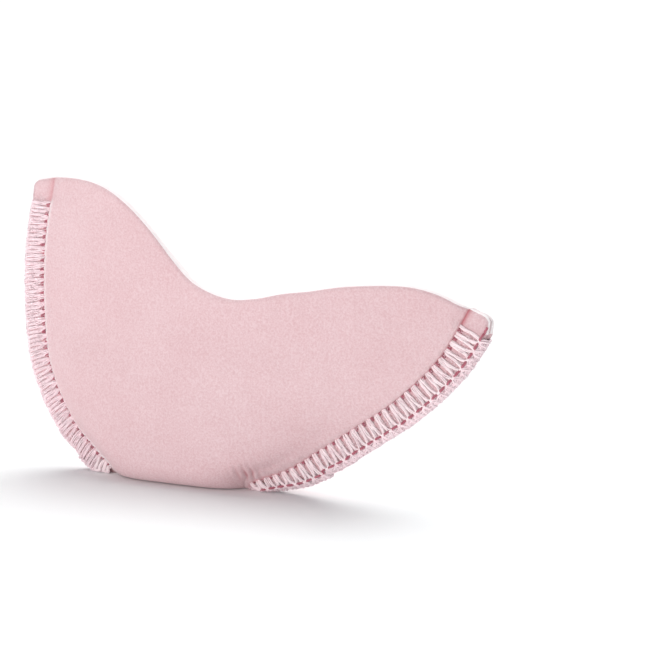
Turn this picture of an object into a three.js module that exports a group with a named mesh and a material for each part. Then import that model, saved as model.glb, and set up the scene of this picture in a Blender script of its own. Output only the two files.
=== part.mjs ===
// A ballet toe pad: a pouch of thin foam faced with brushed knit, folded at the toe and closed
// down both sides by overlock stitching. It stands on its folded toe with the mouth upwards.
// Millimetres. +X runs towards the low wing, +Y goes away from the viewer and +Z is up.
import * as THREE from 'three';

// Outline of the front panel
const toeWidth = 46;
const mouthWidth = 112.8;
const mouthRise = 51.7;
const mouthSway = 18.6;
const mouthTiltDeg = 12;
const mouthWave = 10;
const backPanelDrop = 8;

// Depth of the pouch, measured between the middles of its two walls
const toeDepth = 15;
const mouthDepth = 15;
const toeCornerRadius = 3;
const leanBack = 2;

// The foam laminate, and how the stitching squeezes it along the two side seams
const wallThickness = 2.4;
const seamThickness = 1.2;
const seamLayerGap = 0.3;
const seamWidth = 4.5;
const leftTipSeamWidth = 4;
const rightTipSeamWidth = 6;
const seamPuff = 3;
const leftSeamTwistDeg = 4;
const rightSeamTwistDeg = 12;
const toeSeamSkew = 1.3;
const maxSeamSkew = 3;

// The overlock thread around each side seam
const threadThickness = 0.45;
const threadClearance = 0.3;
const edgeClearance = 0.6;
const threadSetback = 1.2;
const threadCorner = 0.7;
const bareTip = 4.5;
const bareToe = 0.8;

// Fineness of the mesh
const wallRows = 20;
const cornerRows = 3;
const footRows = 2;
const panelColumns = 28;
const seamColumns = 2;

// How the front panel opens out from the toe (along 0) to the mouth (along 1). Each column is a
// share: spread of the growth in width, rise of mouthRise, sway of mouthSway, tilt of the mouth's
// tilt, and depth of the change from toeDepth to mouthDepth. belly adds a share of toeDepth.
const sections = [
  { along: 0.0, spread: 0.0, rise: 0.0, sway: 0.0, tilt: 0.0, depth: 0.0, belly: 0.0 },
  { along: 0.2, spread: 0.3, rise: 0.13, sway: 0.08, tilt: 0.33, depth: 0.1, belly: 0.05 },
  { along: 0.4, spread: 0.57, rise: 0.32, sway: 0.23, tilt: 0.55, depth: 0.35, belly: 0.08 },
  { along: 0.6, spread: 0.77, rise: 0.53, sway: 0.47, tilt: 0.79, depth: 0.65, belly: 0.06 },
  { along: 0.8, spread: 0.92, rise: 0.76, sway: 0.735, tilt: 0.95, depth: 0.9, belly: 0.02 },
  { along: 1.0, spread: 1.0, rise: 1.0, sway: 1.0, tilt: 1.0, depth: 1.0, belly: 0.0 },
];

// The cut edge at the mouth, from the left wing tip (across -1) over the two humps and the dip
// between them. lift is a share of mouthWave above the line that joins the wing tips.
const mouthEdge = [
  { across: -1.0, lift: 0.0 },
  { across: -0.92, lift: 0.17 },
  { across: -0.8, lift: 0.33 },
  { across: -0.69, lift: 0.38 },
  { across: -0.6, lift: 0.3 },
  { across: -0.5, lift: 0.08 },
  { across: -0.4, lift: -0.24 },
  { across: -0.3, lift: -0.62 },
  { across: -0.2, lift: -0.95 },
  { across: -0.1, lift: -1.08 },
  { across: 0.0, lift: -1.07 },
  { across: 0.1, lift: -0.89 },
  { across: 0.2, lift: -0.62 },
  { across: 0.3, lift: -0.4 },
  { across: 0.42, lift: -0.11 },
  { across: 0.54, lift: 0.11 },
  { across: 0.66, lift: 0.27 },
  { across: 0.76, lift: 0.27 },
  { across: 0.86, lift: 0.14 },
  { across: 0.93, lift: 0.09 },
  { across: 1.0, lift: 0.08 },
];

// How sharply the walls curve into their seams: a higher power keeps more of the width flat
const toeLensPower = 5;
const mouthLensPower = 2.4;
// How soon the mouth's humps and dip fade out on the way down to the toe
const waveFade = 1.7;

// Smooth value of one column of a table at a place along another column
function tableValue(table, key, column, place) {
  const last = table.length - 1;
  let i = 0;
  while (i < last - 1 && place > table[i + 1][key]) i += 1;
  const slopeAt = (k) => {
    const a = table[Math.max(k - 1, 0)];
    const b = table[Math.min(k + 1, last)];
    return (b[column] - a[column]) / (b[key] - a[key]);
  };
  const start = table[i];
  const end = table[i + 1];
  const span = end[key] - start[key];
  const t = (place - start[key]) / span;
  const rest = 1 - t;
  return (
    start[column] * rest * rest * (1 + 2 * t) +
    end[column] * t * t * (3 - 2 * t) +
    slopeAt(i) * span * t * rest * rest -
    slopeAt(i + 1) * span * t * t * rest
  );
}

const smoothStep = (t) => {
  const c = THREE.MathUtils.clamp(t, 0, 1);
  return c * c * (3 - 2 * c);
};

// One level of the front panel: its middle, half width, direction across and direction up
function level(along) {
  const value = (column) => tableValue(sections, 'along', column, along);
  const tilt = THREE.MathUtils.degToRad(mouthTiltDeg) * value('tilt');
  return {
    middle: new THREE.Vector2(mouthSway * value('sway'), mouthRise * value('rise')),
    half: (toeWidth + (mouthWidth - toeWidth) * value('spread')) / 2,
    across: new THREE.Vector2(Math.cos(tilt), -Math.sin(tilt)),
    up: new THREE.Vector2(Math.sin(tilt), Math.cos(tilt)),
    halfDepth: (toeDepth * (1 + value('belly')) + (mouthDepth - toeDepth) * value('depth')) / 2,
  };
}

// Outer edge of a side seam in front view. side is -1 for the left seam and 1 for the right.
function seamEdge(side, along) {
  const l = level(along);
  return l.middle.clone().addScaledVector(l.across, side * l.half);
}

// How much longer a distance is along a level than square to the seam
function seamSkew(side, along) {
  const step = 0.01;
  const from = seamEdge(side, Math.max(along - step, 0));
  const to = seamEdge(side, Math.min(along + step, 1));
  const run = to.sub(from).normalize();
  const across = level(along).across;
  return Math.min(1 / Math.abs(run.x * across.y - run.y * across.x), maxSeamSkew);
}

// Width of the seam band square to the seam, which changes on the way up to the wing tip
function seamWidthAt(side, along) {
  const tipWidth = side < 0 ? leftTipSeamWidth : rightTipSeamWidth;
  return seamWidth + (tipWidth - seamWidth) * along ** 2;
}

// Width of the seam band along its level. Near the toe, where the seam runs almost along the
// level, the band narrows instead of growing long.
function bandWidth(side, along) {
  return seamWidthAt(side, along) * Math.min(seamSkew(side, along), toeSeamSkew + along);
}

// Half the distance between the middles of the two squeezed layers in a seam
const seamHalf = (seamThickness + seamLayerGap) / 2;

// Height of the wall's foot above the floor, where the toe's rounded corner begins
const toeRise = (thickness, halfGap) => thickness / 2 + Math.min(toeCornerRadius, halfGap);

// Levels of the mesh up the panel, closer together near the toe
const levels = Array.from({ length: wallRows + 1 }, (_, i) => (i / wallRows) ** 1.25);

// Every column of the pouch, from the left edge to the right. inside is the share of the seam band
// in from its outer edge, and panel the share of the way between the two stitch lines.
function pouchColumns() {
  const columns = [];
  for (let i = 0; i < seamColumns; i += 1) {
    columns.push({ side: -1, inside: i / seamColumns });
  }
  for (let i = 0; i <= panelColumns; i += 1) {
    const even = i / panelColumns;
    const eased = (1 - Math.cos(Math.PI * even)) / 2;
    columns.push({ panel: even * 0.5 + eased * 0.5 });
  }
  for (let i = seamColumns - 1; i >= 0; i -= 1) {
    columns.push({ side: 1, inside: i / seamColumns });
  }
  return columns;
}

// Where a column lies on a level: its distance from the middle, its distance in from the nearer
// stitch line, its place between the stitch lines and its half gap and thickness.
function columnAt(column, along) {
  const l = level(along);
  const left = -l.half + bandWidth(-1, along);
  const right = l.half - bandWidth(1, along);
  if (column.side) {
    return {
      offset: column.side * (l.half - column.inside * bandWidth(column.side, along)),
      twistRun: seamWidthAt(column.side, along) * (1 - column.inside),
      side: column.side,
      inPanel: 0,
      halfGap: seamHalf,
      thickness: seamThickness,
    };
  }
  const offset = left + (right - left) * column.panel;
  const fromStitch = Math.min(offset - left, right - offset);
  const lensPower = toeLensPower + (mouthLensPower - toeLensPower) * smoothStep(along * 1.6);
  const lens = 1 - Math.abs(2 * column.panel - 1) ** lensPower;
  const puff = smoothStep(fromStitch / seamPuff);
  return {
    offset,
    twistRun: 0,
    side: column.panel < 0.5 ? -1 : 1,
    inPanel: 1 - (2 * column.panel - 1) ** 4,
    halfGap: seamHalf + (l.halfDepth - seamHalf) * lens,
    thickness: seamThickness + (wallThickness - seamThickness) * puff,
  };
}

// A point of the flat sheet midway between the two panels, in front view and leaning back. drop
// lowers the mouth's edge. The seam bands turn towards the viewer by their twist.
function sheetPoint(place, along, drop) {
  const l = level(along);
  const share = THREE.MathUtils.clamp(place.offset / l.half, -1, 1);
  const wave = mouthWave * tableValue(mouthEdge, 'across', 'lift', share);
  const lift = (wave - drop * place.inPanel) * along ** waveFade;
  const flat = l.middle.clone();
  flat.addScaledVector(l.across, place.offset).addScaledVector(l.up, lift);
  const rise = toeRise(place.thickness, place.halfGap) * (1 - along) ** 2;
  const twistDeg = place.side < 0 ? leftSeamTwistDeg : rightSeamTwistDeg;
  const twist = THREE.MathUtils.degToRad(twistDeg) * smoothStep(along * 2.5);
  const lean = leanBack * along ** 1.3;
  return new THREE.Vector3(flat.x, lean - place.twistRun * Math.tan(twist), flat.y + rise);
}

// Directions square to a grid of points, one for each point
function gridNormals(grid) {
  const columns = grid[0].length;
  const triangles = [];
  for (let i = 0; i < grid.length - 1; i += 1) {
    for (let j = 0; j < columns - 1; j += 1) {
      const a = i * columns + j;
      const b = a + columns;
      triangles.push(a, b, b + 1, a, b + 1, a + 1);
    }
  }
  const normals = geometryFrom(grid.flat(), triangles).getAttribute('normal');
  return grid.map((row, i) =>
    row.map((point, j) => new THREE.Vector3().fromBufferAttribute(normals, i * columns + j)),
  );
}

// One wall from the mouth down to the toe's corner. face is -1 for the front wall, 1 for the back.
function wallRowsOf(face, columns) {
  const drop = face < 0 ? 0 : backPanelDrop;
  const places = [];
  const sheet = [];
  for (let i = 0; i <= wallRows; i += 1) {
    const along = levels[wallRows - i];
    places.push(columns.map((column) => columnAt(column, along)));
    sheet.push(places[i].map((place) => sheetPoint(place, along, drop)));
  }
  // The sheet's normals point to the front, against the way that face counts
  const normals = gridNormals(sheet);
  return sheet.map((row, i) =>
    row.map((point, j) => {
      const place = places[i][j];
      const middle = point.clone().addScaledVector(normals[i][j], -face * place.halfGap);
      return { middle, thickness: place.thickness };
    }),
  );
}

// The rounded corners and the flat foot that join the front wall to the back wall under the toe
function footRowsOf(columns) {
  const places = columns.map((column) => columnAt(column, 0));
  const rows = [];
  const addRow = (depthOf, heightOf) => {
    rows.push(
      places.map((place) => {
        const radius = Math.min(toeCornerRadius, place.halfGap);
        const point = sheetPoint(place, 0, 0);
        point.y += depthOf(place, radius);
        point.z = place.thickness / 2 + heightOf(radius);
        return { middle: point, thickness: place.thickness };
      }),
    );
  };
  const corner = (face, turn) =>
    addRow(
      (place, radius) => face * (place.halfGap - radius + radius * Math.cos(turn)),
      (radius) => radius * (1 - Math.sin(turn)),
    );
  for (let i = 1; i <= cornerRows; i += 1) corner(-1, (Math.PI / 2) * (i / cornerRows));
  for (let i = 1; i < footRows; i += 1) {
    const way = -1 + (2 * i) / footRows;
    addRow((place, radius) => way * (place.halfGap - radius), () => 0);
  }
  for (let i = cornerRows; i >= 1; i -= 1) corner(1, (Math.PI / 2) * (i / cornerRows));
  return rows;
}

// A closed solid between two matching grids of points, with a rim around all four borders
function solidBetween(outer, inner) {
  const rows = outer.length;
  const columns = outer[0].length;
  const points = [...outer.flat(), ...inner.flat()];
  const outside = (i, j) => i * columns + j;
  const inside = (i, j) => rows * columns + outside(i, j);
  const triangles = [];
  const quad = (a, b, c, d) => triangles.push(a, b, c, a, c, d);
  for (let i = 0; i < rows - 1; i += 1) {
    for (let j = 0; j < columns - 1; j += 1) {
      quad(outside(i, j), outside(i + 1, j), outside(i + 1, j + 1), outside(i, j + 1));
      quad(inside(i, j), inside(i, j + 1), inside(i + 1, j + 1), inside(i + 1, j));
    }
  }
  for (let j = 0; j < columns - 1; j += 1) {
    const end = rows - 1;
    quad(inside(0, j), outside(0, j), outside(0, j + 1), inside(0, j + 1));
    quad(inside(end, j), inside(end, j + 1), outside(end, j + 1), outside(end, j));
  }
  for (let i = 0; i < rows - 1; i += 1) {
    const end = columns - 1;
    quad(inside(i, 0), inside(i + 1, 0), outside(i + 1, 0), outside(i, 0));
    quad(inside(i, end), outside(i, end), outside(i + 1, end), inside(i + 1, end));
  }
  return geometryFrom(points, triangles);
}

function geometryFrom(points, triangles) {
  const geometry = new THREE.BufferGeometry();
  geometry.setAttribute(
    'position',
    new THREE.Float32BufferAttribute(points.flatMap((p) => [p.x, p.y, p.z]), 3),
  );
  geometry.setIndex(triangles);
  geometry.computeVertexNormals();
  return geometry;
}

// The pouch: one sheet of laminate from the front mouth, under the toe and up to the back mouth
function pouchGeometry() {
  const columns = pouchColumns();
  const profile = [
    ...wallRowsOf(-1, columns),
    ...footRowsOf(columns),
    ...wallRowsOf(1, columns).reverse(),
  ];
  const normals = gridNormals(profile.map((row) => row.map((cell) => cell.middle)));
  const offset = (share) =>
    profile.map((row, i) =>
      row.map((cell, j) => {
        const point = cell.middle.clone().addScaledVector(normals[i][j], share * cell.thickness);
        point.z = Math.max(point.z, 0);
        return point;
      }),
    );
  return solidBetween(offset(0.5), offset(-0.5));
}

// Section of the thread layer around a seam's outer edge, as pairs of distance out from that edge
// and depth from the middle of the seam
function threadSection(width) {
  const innerDepth = seamHalf + seamThickness / 2 + threadClearance;
  const outerDepth = innerDepth + threadThickness;
  const reach = edgeClearance + threadThickness;
  const start = threadSetback - width;
  const front = [
    [start, -innerDepth],
    [start, -outerDepth],
    [reach - threadCorner * 1.6, -outerDepth],
    [reach - threadCorner * 0.4, -outerDepth + threadCorner * 0.5],
    [reach, -outerDepth + threadCorner * 1.5],
  ];
  const back = front.map(([out, depth]) => [out, -depth]).reverse();
  return [...front, ...back, [edgeClearance, innerDepth], [edgeClearance, -innerDepth]];
}

// A point around a seam, measured out from its outer edge and in depth from its middle
function seamPoint(side, along, out, depth) {
  const at = (place, distance) => {
    const width = seamWidthAt(side, place);
    const stretch = distance > 0 ? seamSkew(side, place) : bandWidth(side, place) / width;
    return sheetPoint(
      {
        offset: side * (level(place).half + distance * stretch),
        twistRun: width + distance,
        side,
        inPanel: 0,
        halfGap: seamHalf,
        thickness: seamThickness,
      },
      place,
      0,
    );
  };
  const step = 0.01;
  const point = at(along, out);
  const run = at(Math.min(along + step, 1), out).sub(at(Math.max(along - step, 0), out));
  const across = at(along, out + 1).sub(at(along, out - 1)).multiplyScalar(side);
  const square = run.cross(across).normalize();
  square.multiplyScalar(Math.sign(square.y));
  return point.addScaledVector(square, depth);
}

// Length of a side seam's outer edge
function seamLength(side) {
  let length = 0;
  let from = seamEdge(side, 0);
  for (const along of levels.slice(1)) {
    const to = seamEdge(side, along);
    length += to.distanceTo(from);
    from = to;
  }
  return length;
}

// The overlock thread of one side, swept along its seam from the toe to just short of the tip
function overlockGeometry(side) {
  const length = seamLength(side);
  const first = bareToe / length;
  const last = 1 - bareTip / length;
  const run = [first, ...levels.filter((along) => along > first && along < last), last];
  const slices = run.map((along) => threadSection(seamWidthAt(side, along)));
  const points = run.flatMap((along, i) =>
    slices[i].map(([out, depth]) => seamPoint(side, along, out, depth)),
  );
  const count = slices[0].length;
  const triangles = [];
  const triangle = (a, b, c) => triangles.push(...(side > 0 ? [a, b, c] : [a, c, b]));
  for (let i = 0; i < run.length - 1; i += 1) {
    for (let k = 0; k < count; k += 1) {
      const next = (k + 1) % count;
      const [a, b] = [i * count + k, i * count + next];
      triangle(a, b, b + count);
      triangle(a, b + count, a + count);
    }
  }
  const flat = slices[0].map(([out, depth]) => new THREE.Vector2(out, depth));
  for (const [a, b, c] of THREE.ShapeUtils.triangulateShape(flat, [])) {
    triangle(a, c, b);
    const end = (run.length - 1) * count;
    triangle(end + a, end + b, end + c);
  }
  return geometryFrom(points, triangles);
}

const laminate = new THREE.MeshStandardMaterial({ color: 0xecd0d3, roughness: 0.9, metalness: 0 });
const thread = new THREE.MeshStandardMaterial({ color: 0xf0d6da, roughness: 0.7, metalness: 0 });

function named(name, geometry, material) {
  const mesh = new THREE.Mesh(geometry, material);
  mesh.name = name;
  return mesh;
}

const toePad = new THREE.Group();
toePad.add(named('pouch', pouchGeometry(), laminate));
toePad.add(named('left_overlock', overlockGeometry(-1), thread));
toePad.add(named('right_overlock', overlockGeometry(1), thread));

// The origin is on the floor, under the middle of the pad
const bounds = new THREE.Box3().setFromObject(toePad);
const centre = bounds.getCenter(new THREE.Vector3());
toePad.position.set(-centre.x, -centre.y, -bounds.min.z);
toePad.updateMatrixWorld(true);

export default toePad;
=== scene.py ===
"""A ballet toe pad, dressed: brushed knit on foam, with overlock stitching down both sides."""
import math
from collections import namedtuple

import bpy
import numpy as np
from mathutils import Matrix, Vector


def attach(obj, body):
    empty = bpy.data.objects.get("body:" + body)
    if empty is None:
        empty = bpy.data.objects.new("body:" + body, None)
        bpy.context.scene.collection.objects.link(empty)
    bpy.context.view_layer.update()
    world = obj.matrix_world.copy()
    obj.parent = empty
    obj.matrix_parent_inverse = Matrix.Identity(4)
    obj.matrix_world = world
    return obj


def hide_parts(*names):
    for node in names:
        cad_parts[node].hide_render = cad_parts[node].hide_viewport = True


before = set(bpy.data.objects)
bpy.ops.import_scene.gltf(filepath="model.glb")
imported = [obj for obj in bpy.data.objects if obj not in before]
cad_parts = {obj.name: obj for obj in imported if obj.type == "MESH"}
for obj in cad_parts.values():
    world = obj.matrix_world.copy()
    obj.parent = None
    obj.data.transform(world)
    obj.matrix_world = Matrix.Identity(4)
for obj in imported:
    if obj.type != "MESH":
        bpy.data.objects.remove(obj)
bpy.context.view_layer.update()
METRES = 0.001
LEFT, RIGHT = SIDES = (-1, 1)
FRONT, BACK = -1, 1

# Sizes of the pad in millimetres, the same as in the part's source
TOE_WIDTH = 46.0
MOUTH_WIDTH = 112.8
MOUTH_RISE = 51.7
MOUTH_SWAY = 18.6
MOUTH_TILT = math.radians(12.0)
MOUTH_WAVE = 10.0
BACK_PANEL_DROP = 8.0
TOE_DEPTH = 15.0
MOUTH_DEPTH = 15.0
TOE_CORNER_RADIUS = 3.0
LEAN_BACK = 2.0
WALL_THICKNESS = 2.4
SEAM_THICKNESS = 1.2
SEAM_LAYER_GAP = 0.3
SEAM_WIDTH = 4.5
TIP_SEAM_WIDTH = {LEFT: 4.0, RIGHT: 6.0}
SEAM_PUFF = 3.0
SEAM_TWIST = {LEFT: math.radians(4.0), RIGHT: math.radians(12.0)}
SEAM_HALF = (SEAM_THICKNESS + SEAM_LAYER_GAP) / 2
# From the source's origin to the middle of the pad's box, where the frame has its origin
TO_FRAME = np.array([-16.80, -0.93, 0.0])

# How the pad's form changes from 0 at the toe to 1 at the mouth, also as in the source
TOE_SEAM_SKEW = 1.3
MAX_SEAM_SKEW = 3.0
SKEW_STEP = 0.01
TOE_LENS_POWER = 5.0
MOUTH_LENS_POWER = 2.4
LENS_RATE = 1.6
WAVE_FADE = 1.7
DROP_POWER = 4
LEAN_POWER = 1.3
TWIST_RATE = 2.5
SECTION_ALONG = [0.0, 0.2, 0.4, 0.6, 0.8, 1.0]
SECTION = {
    "spread": [0.0, 0.3, 0.57, 0.77, 0.92, 1.0],
    "rise": [0.0, 0.13, 0.32, 0.53, 0.76, 1.0],
    "sway": [0.0, 0.08, 0.23, 0.47, 0.735, 1.0],
    "tilt": [0.0, 0.33, 0.55, 0.79, 0.95, 1.0],
    "depth": [0.0, 0.1, 0.35, 0.65, 0.9, 1.0],
    "belly": [0.0, 0.05, 0.08, 0.06, 0.02, 0.0],
}
# The mouth's edge from wing to wing, and its height as a share of the wave
MOUTH_EDGE = [
    (-1.0, 0.0), (-0.92, 0.17), (-0.8, 0.33), (-0.69, 0.38), (-0.6, 0.3), (-0.5, 0.08),
    (-0.4, -0.24), (-0.3, -0.62), (-0.2, -0.95), (-0.1, -1.08), (0.0, -1.07), (0.1, -0.89),
    (0.2, -0.62), (0.3, -0.4), (0.42, -0.11), (0.54, 0.11), (0.66, 0.27), (0.76, 0.27),
    (0.86, 0.14), (0.93, 0.09), (1.0, 0.08),
]

# Fineness of the cloth's mesh
WALL_ROWS = 136
LEVEL_POWER = 1.06
CUT_EDGE_LEVELS = (0.0016, 0.0036)  # two more rows, this share of the height below the edge
CORNER_ROWS = 8
FOOT_ROWS = 8
PANEL_COLUMNS = 118
COLUMN_EVENNESS = 0.45  # the rest crowds the columns towards the seams
BAND_COLUMNS = 6
RIM_POINTS = 4
NORMAL_ROUNDS = 6

# Rounding of the cloth where the walls meet the foot: its reach in rows, and how often it is eased
EASE_WALL_ROWS = 13
EASE_FOOT_ROWS = 4.5
EASE_ROUNDS = 140
# The share of the height up to which the walls still turn square to the foot, and the relief fades
SQUARE_TO_FOOT = 0.15
RELIEF_FROM = 0.06

# The cloth's own relief, in millimetres
ROLL_HEIGHT = 0.34
ROLL_FROM_STITCH = 1.2
ROLL_WIDTH = 0.85
BAND_SWELL = 0.2
BAND_SWELL_REACH = 1.2
BAND_CLOSE = 0.13
BAND_CLOSE_REACH = 1.0
ON_STITCH = -0.01  # the panel starts here, just outside the needle line
PUCKER_DEPTH = 0.16
PUCKER_REACH = 1.3
SEWN_FADE = 1.5
# Uneven relief: its height, seed and longest wave, and how far from the stitches it fades
SOFT_RELIEF = (0.22, 5, 34, 8)
FINE_RELIEF = (0.05, 9, 6, 3)
BACK_SHIFT = 60  # takes the back's relief from elsewhere in the waves than the front's
WAVE_COUNT = 7
WAVE_STEP = 0.45
# Small gathers beside the start of the right seam
GATHERS_DEPTH = 0.26
GATHERS_PITCH = 1.4
GATHERS_SLOPE = 0.2
GATHERS_FROM_SEAM, GATHERS_HEIGHT = 1.2, 4.6
GATHERS_REACH, GATHERS_RISE = 3.0, 2.4
# The cut edge at the mouth, and the wings' tips
CUT_EDGE_ROUND = 0.35
CUT_EDGE_REACH = 0.5
CUT_EDGE_INNER = 0.6
CUT_EDGE_CROWN = 0.3
CUT_EDGE_ROUGH = 0.07
CUT_EDGE_SEED = 21
TIP_ROUND = {LEFT: 0.9, RIGHT: 3.0}
TIP_ROUND_POWER = 14
TIP_FLARE = {LEFT: 0.8, RIGHT: 0.0}
TIP_FLARE_FROM, TIP_FLARE_RUN = 0.88, 0.1
INNER_FLOOR = 0.4

# Colour measures of the knit: painted shade at the crease by the stitches, partly the squeezed
# knit's deeper colour, and a painted highlight on the crest beside it
# The crease at the stitches is painted darker: painted shade in the groove, partly the squeezed
# knit's deeper colour, stronger on the right
CREASE_SHADE_ON_BAND, CREASE_SHADE_ON_PANEL = 0.75, 0.5
CREASE_SHADE_SHARE = {LEFT: 0.5, RIGHT: 1}
# Painted shade in the gathers' valleys
GATHERS_SHADE = 0.75
HIGHLIGHT_FROM_STITCH = 0.8
HIGHLIGHT_WIDTH = 0.5
HIGHLIGHT_SHARE = {LEFT: 1, RIGHT: 0.2}

# The stitching, in millimetres
PITCH = {LEFT: 1.75, RIGHT: 2.15}
SLANT = {LEFT: -0.8, RIGHT: 0.8}
FIRST_STITCH = {LEFT: 0.3, RIGHT: 0.45}
BARE_TIP = {LEFT: 4.6, RIGHT: 2.6}
SEAM_SAMPLES = 900
# The thread comes down over the toe's fold this near the floor, where the band heads for it
FOLD_MARGIN = 0.45
FOLD_SLOPE, FOLD_LEAST_SLOPE = 0.05, 0.2
FOLD_SHARPNESS = 3
NO_FOLD = 30

# Slots in the pouch's and the threads' materials
KNIT, LINING, FOAM = 0, 1, 2
PALE, DEEP, PAINTED_HIGHLIGHT = 0, 1, 2


def curve(keys, values, place):
    """Smooth value of a table's column at places along its keys."""
    k = np.asarray(keys, float)
    c = np.asarray(values, float)
    x = np.asarray(place, float)
    i = np.clip(np.searchsorted(k, x, side="left") - 1, 0, len(k) - 2)
    low = np.maximum(np.arange(len(k)) - 1, 0)
    high = np.minimum(np.arange(len(k)) + 1, len(k) - 1)
    slope = (c[high] - c[low]) / (k[high] - k[low])
    span = k[i + 1] - k[i]
    t = (x - k[i]) / span
    rest = 1 - t
    return (
        c[i] * rest * rest * (1 + 2 * t)
        + c[i + 1] * t * t * (3 - 2 * t)
        + slope[i] * span * t * rest * rest
        - slope[i + 1] * span * t * t * rest
    )


def smooth(t):
    """A soft step from 0 to 1."""
    c = np.clip(t, 0, 1)
    return c * c * (3 - 2 * c)


def bell(x):
    """1 at zero, falling off softly on both sides."""
    return np.exp(-(x**2))


def unit(v):
    return v / np.maximum(np.linalg.norm(v, axis=-1, keepdims=True), 1e-9)


def by_side(side, values):
    """The left or the right value, for each side in an array."""
    return np.where(np.asarray(side) < 0, values[LEFT], values[RIGHT])


def level(along):
    """Middle, half width, direction across, direction up and half depth of the panel's levels."""
    value = {name: curve(SECTION_ALONG, column, along) for name, column in SECTION.items()}
    tilt = MOUTH_TILT * value["tilt"]
    middle = np.stack([MOUTH_SWAY * value["sway"], MOUTH_RISE * value["rise"]], -1)
    half = (TOE_WIDTH + (MOUTH_WIDTH - TOE_WIDTH) * value["spread"]) / 2
    across = np.stack([np.cos(tilt), -np.sin(tilt)], -1)
    up = np.stack([np.sin(tilt), np.cos(tilt)], -1)
    depth = TOE_DEPTH * (1 + value["belly"]) + (MOUTH_DEPTH - TOE_DEPTH) * value["depth"]
    return middle, half, across, up, depth / 2


def seam_edge(side, along):
    middle, half, across, _, _ = level(along)
    return middle + across * (side * half)[..., None]


def seam_skew(side, along):
    """How much wider the band is along a level than square to the seam."""
    below = seam_edge(side, np.maximum(along - SKEW_STEP, 0))
    above = seam_edge(side, np.minimum(along + SKEW_STEP, 1))
    run = unit(above - below)
    across = level(along)[2]
    sine = np.abs(run[..., 0] * across[..., 1] - run[..., 1] * across[..., 0])
    return np.minimum(1 / sine, MAX_SEAM_SKEW)


def seam_width(side, along):
    """The band's width square to the seam."""
    return SEAM_WIDTH + (by_side(side, TIP_SEAM_WIDTH) - SEAM_WIDTH) * along**2


def band_width(side, along):
    """The band's width along a level."""
    return seam_width(side, along) * np.minimum(seam_skew(side, along), TOE_SEAM_SKEW + along)


SHEET_MEASURES = ("offset", "twist_run", "side", "along", "in_panel", "half_gap", "thickness")


def sheet_point(
    offset, twist_run, side, along,
    in_panel=0.0, half_gap=SEAM_HALF, thickness=SEAM_THICKNESS, drop=0.0,
):
    """A point of the sheet midway between the two panels."""
    middle, half, across, up, _ = level(along)
    share = np.clip(offset / half, -1, 1)
    keys, lifts = zip(*MOUTH_EDGE)
    lift = (MOUTH_WAVE * curve(keys, lifts, share) - drop * in_panel) * along**WAVE_FADE
    flat = middle + across * offset[..., None] + up * lift[..., None]
    rise = (thickness / 2 + np.minimum(TOE_CORNER_RADIUS, half_gap)) * (1 - along) ** 2
    twist = by_side(side, SEAM_TWIST) * smooth(along * TWIST_RATE)
    lean = LEAN_BACK * along**LEAN_POWER
    return np.stack([flat[..., 0], lean - twist_run * np.tan(twist), flat[..., 1] + rise], -1)


class Seam:
    """One side seam, by the distance along its needle line from the toe's fold to the wing tip."""

    def __init__(self, side):
        self.side = side
        self.places = np.linspace(0, 1, SEAM_SAMPLES)
        a = self.places
        half = level(a)[1]
        self.needle = sheet_point(side * (half - band_width(side, a)), 0 * a, side, a)
        edge = sheet_point(side * half, seam_width(side, a), side, a)
        self.distances = distances_along(self.needle)
        self.length = self.distances[-1]
        run = unit(np.gradient(self.needle, axis=0))
        across = edge - self.needle
        self.square = unit(np.cross(run, across))
        self.square *= np.sign(self.square[:, 1:2])
        self.outward = np.cross(self.square, run)
        self.outward *= np.sign(np.sum(self.outward * across, -1, keepdims=True))
        # Square to the seam, the band ends at its outer edge or, near the toe, at the fold
        width = np.sum(across * self.outward, -1)
        slope = -self.outward[:, 2]
        to_fold = (self.needle[:, 2] - FOLD_MARGIN) / np.maximum(slope, FOLD_LEAST_SLOPE)
        to_fold = np.minimum(np.where(slope > FOLD_SLOPE, to_fold, NO_FOLD), NO_FOLD)
        near = np.exp(-FOLD_SHARPNESS * width) + np.exp(-FOLD_SHARPNESS * to_fold)
        self.width = -np.log(near) / FOLD_SHARPNESS
        self.pitch = PITCH[side]
        self.slant = SLANT[side]
        self.first = FIRST_STITCH[side]
        self.count = int((self.length - BARE_TIP[side] - self.first) / self.pitch)

    def at(self, values, distance):
        """A value of the seam's, such as its width or a direction, at distances along it."""
        if values.ndim == 1:
            return np.interp(distance, self.distances, values)
        return np.stack([np.interp(distance, self.distances, column) for column in values.T], -1)

    def distance(self, along):
        return np.interp(along, self.places, self.distances)


def distances_along(path):
    """How far along a path each of its points is."""
    steps = np.linalg.norm(np.diff(path, axis=0), axis=1)
    return np.concatenate([[0], np.cumsum(steps)])


SEAMS = {side: Seam(side) for side in SIDES}


# The pouch's cloth
def waves(x, z, seed, longest):
    """A soft irregular relief between -1 and 1, made of sine waves."""
    rng = np.random.default_rng(seed)
    total = np.zeros(np.broadcast(x, z).shape)
    weight = 0.0
    for i in range(WAVE_COUNT):
        size = longest / (1 + WAVE_STEP * i)
        turn = rng.uniform(0, math.pi)
        phase = rng.uniform(0, math.tau)
        amount = 1 / (1 + i)
        way = x * math.cos(turn) + z * math.sin(turn)
        total = total + amount * np.sin(way * math.tau / size + phase)
        weight += amount
    return total / weight


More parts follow.
